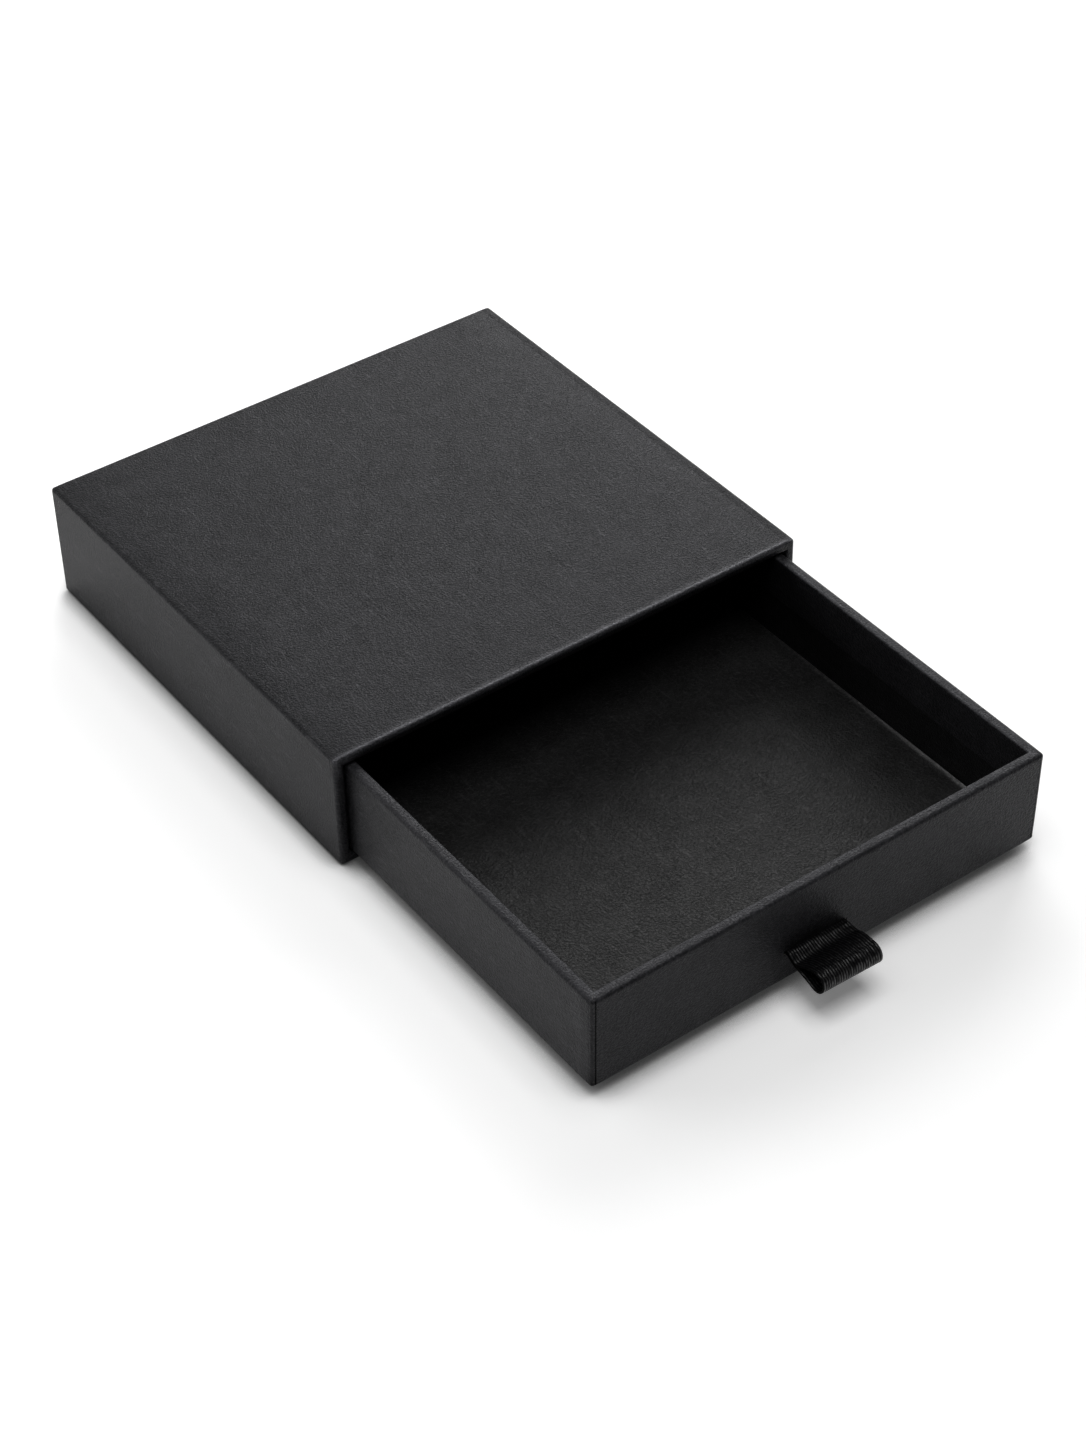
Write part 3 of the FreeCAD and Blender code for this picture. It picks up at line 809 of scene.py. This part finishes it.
class GIFTBOX_OT_floor_card(bpy.types.Operator):
    """Loose card on the tray's floor, its right edge standing up a little towards the front"""
    bl_idname = "giftbox.floor_card"
    bl_label = "Floor Card"

    def execute(self, context):
        sizes = context.scene.paper_sizes
        low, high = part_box("tray_floor_card")
        piece = start_box("floor_card", low, high)
        eased = 0.25 * MM
        slice_at(X, steps(low.x + 2 * MM, high.x - 2 * MM, 5 * MM) + [high.x - 1.1 * MM, low.x + 1.1 * MM])
        slice_at(Y, steps(low.y + 2 * MM, high.y - 2 * MM, 5 * MM))
        pick("EDGE", lambda edge: near(middle(edge).z, high.z) and (
            near(abs(middle(edge).x), high.x)
            or near(middle(edge).y, low.y) or near(middle(edge).y, high.y)))
        bevel(eased, 3)
        pick("VERT", lambda v: v.co.x > high.x - 0.5 * MM)
        lift = math.atan2(sizes.card_curl, high.y - low.y)
        turn(-lift, "X", (high.x, high.y, low.z))
        take(piece)
        # Painted highlight along the card's right edge, strongest at the front.
        mark(piece, lambda spot: 0, lambda spot: 6 * fade(high.x - spot.x, 0.3 * MM, 1.1 * MM)
             * fade(spot.y, low.y, high.y - 20 * MM))
        dress(piece, paper(context, "floor_card"), "floor_card", "tray", "tray_floor_card")
        return {"FINISHED"}


class GIFTBOX_OT_ribbon(bpy.types.Operator):
    """Ribbon folded into a loop, its ends through the slit and up behind the front"""
    bl_idname = "giftbox.ribbon"
    bl_label = "Ribbon Pull"

    def execute(self, context):
        sizes = context.scene.ribbon_sizes
        tails_low, tails_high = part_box("ribbon_tails")
        width = tails_high.x - tails_low.x
        parts = self.route(sizes)
        cloth = (width, sum(part[0] for part in parts))
        start = Vector(((tails_low.x + tails_high.x) / 2,
                        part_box("tray_front_board")[1].y + sizes.thickness / 2, tails_high.z))
        piece, columns, rows = self.lay_flat(start, cloth, sizes)
        self.fold(parts, cloth, columns, rows)
        self.twist()
        take(piece)
        add_modifier("SOLIDIFY", thickness=sizes.thickness, offset=0, use_even_offset=True, use_rim=True)
        dress(piece, ribbon_material(context.scene.box_colours.ribbon, cloth), "ribbon", None,
              "ribbon_loop", "ribbon_tails")
        root = hinge()
        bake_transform(piece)
        return {"FINISHED"}

    def route(self, sizes):
        """The ribbon's stretches from one end to the other: each one's length, and how far it turns."""
        half, bend = sizes.thickness / 2, sizes.bend
        root, tails_high = hinge(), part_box("ribbon_tails")[1]
        reach = root.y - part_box("ribbon_loop")[0].y + sizes.slack
        slit_to_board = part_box("tray_front_board")[1].y - root.y
        quarter, nip = math.pi / 2, 0.4 * MM
        radius = sizes.fold - half
        leave = Vector((0, half))
        top = [(1.2 * MM, 0.49), (2.7 * MM, -1.06), (3.5 * MM, 0.49)]
        spot, heading = self.walk(top, leave)
        top.append(((reach - sizes.fold - radius * math.sin(heading) - spot.x) / math.cos(heading), 0))
        spot, heading = self.walk(top, leave)
        fold_middle = spot + radius * Vector((math.sin(heading), -math.cos(heading)))
        from_slit = fold_middle + leave
        under = math.asin(radius / from_slit.length) - math.atan2(from_slit.y, from_slit.x)
        turned = heading + math.pi + under
        return [
            (tails_high.z - root.z - half - bend, 0),
            (bend * quarter, -quarter),
            (slit_to_board + half - bend, 0),
            *top,
            (radius * turned, turned),
            (math.sqrt(from_slit.length ** 2 - radius ** 2) - nip / 2, 0),
            (nip, -under),
            (slit_to_board + 3 * half - bend - nip / 2, 0),
            (bend * quarter, quarter),
            (tails_high.z - root.z + half - bend, 0),
        ]

    def walk(self, parts, spot):
        """Where some stretches lead from a spot, setting out level, and the heading they end with."""
        heading = 0
        for length, bend in parts:
            chord = length * math.sin(bend / 2) / (bend / 2) if bend else length
            along = heading - bend / 2
            spot = spot + chord * Vector((math.cos(along), math.sin(along)))
            heading -= bend
        return spot, heading

    def lay_flat(self, start, cloth, sizes):
        """The ribbon laid straight down from its first end, as a fine grid of cloth."""
        width, run = cloth
        columns, rows = round(width / sizes.selvage), round(run / (0.25 * MM))
        stop_editing()
        bpy.ops.mesh.primitive_grid_add(x_subdivisions=columns, y_subdivisions=rows, size=1, calc_uvs=True)
        piece = bpy.context.object
        piece.name = piece.data.name = "ribbon"
        bpy.ops.object.mode_set(mode="EDIT")
        bpy.ops.mesh.select_all(action="SELECT")
        bpy.ops.transform.resize(value=(width, run, 1), center_override=(0, 0, 0))
        turn(math.pi / 2, "X", (0, 0, 0))
        bpy.ops.transform.translate(value=start - Vector((0, 0, run / 2)))
        return piece, columns, rows

    def fold(self, parts, cloth, columns, rows):
        """Fold the cloth along its route: at each row, turn all that lies beyond it."""
        step = cloth[1] / rows
        for row in range(1, rows):
            bend = self.heading(parts, (row + 0.5) * step) - self.heading(parts, (row - 0.5) * step)
            if not bend:
                continue
            shape = bmesh.from_edit_mesh(bpy.context.edit_object.data)
            shape.verts.ensure_lookup_table()
            first_here = (rows - row) * (columns + 1)
            centre = shape.verts[first_here].co.copy()
            pick("VERT", lambda v: v.index < first_here)
            turn(bend, "X", centre)

    def heading(self, parts, along):
        """How far the ribbon has turned, some way along its route."""
        turned = 0
        for length, bend in parts:
            turned += bend * min(1, max(0, along / length))
            along -= length
        return turned

    def twist(self):
        """Let the loop sag at its left end beside the slit, and lean up there towards the fold."""
        root, step = hinge(), 0.4 * MM
        for number in range(1, 22):
            out = number * step
            lean = self.lean(out + step / 2) - self.lean(out - step / 2)
            if lean:
                pick("VERT", lambda v: v.co.y < root.y - out)
                turn(math.radians(lean), "Y", root)

    def lean(self, out):
        """How far the loop's left end is up at a distance from the slit, in degrees."""
        sag = min(1, max(0, (out - 0.2 * MM) / (1.8 * MM)))
        lift = min(1, max(0, (out - 2.4 * MM) / (5.6 * MM)))
        return 7 * lift - 5.2 * sag


class GIFTBOX_OT_boards(bpy.types.Operator):
    """Boards, tapes and pasted sheets under the papers get their own finishes"""
    bl_idname = "giftbox.boards"
    bl_label = "Boards and Tapes"

    def execute(self, context):
        colours = context.scene.box_colours
        finishes = {
            "board": board_material(colours.board),
            "tape": tape_material(colours.tape),
            "sheet": paper(context, "covering_paper"),
            "lining": paper(context, "lining_paper"),
        }
        for name, node in frame["nodes"].items():
            finish = finishes.get(name.rsplit("_", 1)[-1].rstrip("s"))
            if finish:
                node.data.materials.clear()
                node.data.materials.append(finish)
        return {"FINISHED"}


class GIFTBOX_OT_stage(bpy.types.Operator):
    """Pale floor, soft lamps and the camera"""
    bl_idname = "giftbox.stage"
    bl_label = "Stage"

    def execute(self, context):
        settings = context.scene.stage_settings
        self.floor(settings)
        self.sky(context, settings)
        self.lamps(settings)
        self.camera(context, settings)
        context.scene.view_settings.view_transform = "Standard"
        return {"FINISHED"}

    def seen_directly(self, nodes):
        """1 for rays that show the backdrop itself, to the camera or in a reflection."""
        rays = nodes.add("LightPath").outputs
        seen = nodes.maths("MAXIMUM", rays["Is Camera Ray"], rays["Is Glossy Ray"])
        return nodes.maths("MAXIMUM", seen, rays["Is Transmission Ray"])

    def floor(self, settings):
        """A wide floor that stays white far off and takes the box's shadow, darkened further near the box
        by a painted contact shadow.
        """
        stop_editing()
        bpy.ops.mesh.primitive_plane_add(size=6, location=(0, 0, 0))
        plane = bpy.context.object
        plane.name = "floor"
        nodes = Nodes("studio_floor")
        matt = nodes.add("BsdfDiffuse", {"Color": (*settings.floor, 1)}).outputs[0]
        # Painted contact shadow: ambient occlusion darkens the seen floor and its glow near the box.
        open_sky = nodes.add("AmbientOcclusion", {"Distance": 6 * MM}, samples=8).outputs["AO"]
        painted_contact_shadow = nodes.spread(open_sky, 0.42, 0.85, 0.18, 1)
        lit = nodes.add("BsdfDiffuse", {"Color": nodes.shade((1, 1, 1), painted_contact_shadow)}).outputs[0]
        where = nodes.add("TexCoord").outputs["Object"]
        far = nodes.add("VectorMath", {0: where}, operation="LENGTH").outputs["Value"]
        strength = nodes.maths("MULTIPLY", painted_contact_shadow, nodes.spread(far, 0.35, 1.0, 0.16, 1))
        glow = nodes.add("Emission", {"Color": (1, 1, 1, 1), "Strength": strength}).outputs[0]
        shown = nodes.add("AddShader", {0: lit, 1: glow}).outputs[0]
        mix = nodes.add("MixShader", {0: self.seen_directly(nodes), 1: matt, 2: shown}).outputs[0]
        nodes.give(nodes.tree.nodes["Material Output"], "Surface", mix)
        nodes.tree.nodes.remove(nodes.shader)
        plane.data.materials.append(nodes.material)

    def sky(self, context, settings):
        """Even dim light from all round, white where it is seen."""
        world = bpy.data.worlds.new("studio")
        context.scene.world = world
        world.use_nodes = True
        tree = world.node_tree
        background = tree.nodes["Background"]
        rays = tree.nodes.new("ShaderNodeLightPath").outputs
        seen = tree.nodes.new("ShaderNodeMath")
        seen.operation = "MAXIMUM"
        tree.links.new(rays["Is Camera Ray"], seen.inputs[0])
        tree.links.new(rays["Is Transmission Ray"], seen.inputs[1])
        strength = tree.nodes.new("ShaderNodeMapRange")
        strength.inputs["To Min"].default_value = settings.sky
        strength.inputs["To Max"].default_value = 1
        tree.links.new(seen.outputs[0], strength.inputs["Value"])
        background.inputs["Color"].default_value = (1, 1, 1, 1)
        tree.links.new(strength.outputs[0], background.inputs["Strength"])

    def lamp(self, name, bearing, height, watts):
        """A square soft lamp at a bearing and a height in degrees, turned towards the box."""
        stop_editing()
        bearing, height = math.radians(bearing), math.radians(height)
        level = math.cos(height)
        away = Vector((math.sin(bearing) * level, math.cos(bearing) * level, math.sin(height)))
        aim = Vector((0, -0.03, 0))
        place = aim + away * LAMP_DISTANCE
        facing = away.to_track_quat("Z", "Y").to_euler()
        bpy.ops.object.light_add(type="AREA", location=place, rotation=facing)
        lamp = bpy.context.object
        lamp.name = name
        lamp.data.size = LAMP_SIZE
        lamp.data.energy = watts

    def lamps(self, settings):
        """The largest share from behind on the right and overhead, the rest from behind and the left."""
        self.lamp("key_lamp", 45, 33, settings.key)
        self.lamp("top_lamp", 180, 80, settings.top)
        self.lamp("left_lamp", 315, 20, settings.left)
        self.lamp("back_lamp", 0, 30, settings.back)
        self.lamp("side_lamp", 270, 70, settings.side)
        self.lamp("low_lamp", 45, 20, settings.low)

    def camera(self, context, settings):
        """A long lens from the front left, looking down."""
        place = Vector((-272.96, -421.29, 409.30)) * MM
        azimuth, elevation, roll = (math.radians(angle) for angle in (-35.88, 41.35, -0.82))
        ahead = Vector((-math.sin(azimuth) * math.cos(elevation), math.cos(azimuth) * math.cos(elevation),
                        -math.sin(elevation)))
        facing = ahead.to_track_quat("-Z", "Y").to_matrix() @ Matrix.Rotation(roll, 3, "Z")
        stop_editing()
        bpy.ops.object.camera_add(location=place, rotation=facing.to_euler())
        camera = bpy.context.object
        camera.name = "camera"
        camera.data.lens = settings.lens
        camera.data.sensor_width = 36
        context.scene.camera = camera


class GIFTBOX_PT_sidebar(bpy.types.Panel):
    """The gift box's pieces and sizes in the sidebar"""
    bl_label = "Gift Box"
    bl_idname = "GIFTBOX_PT_sidebar"
    bl_space_type = "VIEW_3D"
    bl_region_type = "UI"
    bl_category = "Gift Box"

    def draw(self, context):
        for group in (context.scene.paper_sizes, context.scene.ribbon_sizes, context.scene.box_colours,
                      context.scene.stage_settings):
            box = self.layout.box()
            for name in group.__annotations__:
                box.prop(group, name)
        for operator in operators:
            self.layout.operator(operator.bl_idname)


groups = {"paper_sizes": PaperSizes, "ribbon_sizes": RibbonSizes, "box_colours": Colours,
          "stage_settings": StageSettings}
operators = (GIFTBOX_OT_stage, GIFTBOX_OT_boards, GIFTBOX_OT_sleeve_wrap, GIFTBOX_OT_tray_wrap,
             GIFTBOX_OT_tray_lining, GIFTBOX_OT_floor_card, GIFTBOX_OT_ribbon)


def register():
    for name, group in groups.items():
        bpy.utils.register_class(group)
        setattr(bpy.types.Scene, name, PointerProperty(type=group))
    for operator in operators:
        bpy.utils.register_class(operator)
    bpy.utils.register_class(GIFTBOX_PT_sidebar)


def unregister():
    bpy.utils.unregister_class(GIFTBOX_PT_sidebar)
    for operator in reversed(operators):
        bpy.utils.unregister_class(operator)
    for name, group in groups.items():
        delattr(bpy.types.Scene, name)
        bpy.utils.unregister_class(group)


def main():
    register()
    bpy.ops.giftbox.stage()
    bpy.ops.giftbox.boards()
    bpy.ops.giftbox.sleeve_wrap()
    bpy.ops.giftbox.tray_wrap()
    bpy.ops.giftbox.tray_lining()
    bpy.ops.giftbox.floor_card()
    bpy.ops.giftbox.ribbon()


if __name__ == "__main__":
    main()
